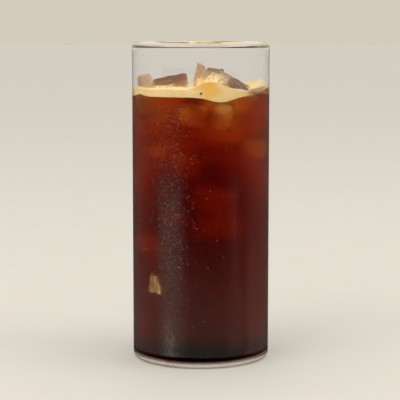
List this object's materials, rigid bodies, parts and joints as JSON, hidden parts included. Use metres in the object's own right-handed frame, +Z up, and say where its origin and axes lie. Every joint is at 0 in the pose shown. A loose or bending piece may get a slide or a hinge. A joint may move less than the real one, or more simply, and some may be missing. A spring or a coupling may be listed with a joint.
{
  "type": "iced cold brew coffee in a glass",
  "caption": "Tall straight clear glass of dark cold brew coffee with a layer of pale foam and ice cubes that stand out of it, to set on a table.",
  "frame": {"origin": "middle of the underside of the glass, on the table", "axes": "+Z up along the axis of the glass, -Y towards the viewer of the picture, +X to the viewer's right"},
  "size_m": [0.07, 0.07, 0.162],
  "materials": {
    "glass": "clear and smooth, fogged with fine dew below the drink's level",
    "coffee": "clear dark brown drink that glows amber where it is thin",
    "foam": "fine pale cream foam",
    "ice": "wet, slightly cloudy ice"
  },
  "bodies": {
    "root": {"glass": "glass", "coffee": "coffee", "foam": "foam", "ice_left": "ice", "ice_long": "ice", "ice_peak": "ice", "ice_tall": "ice", "ice_tilted": "ice"}
  },
  "joints": []
}
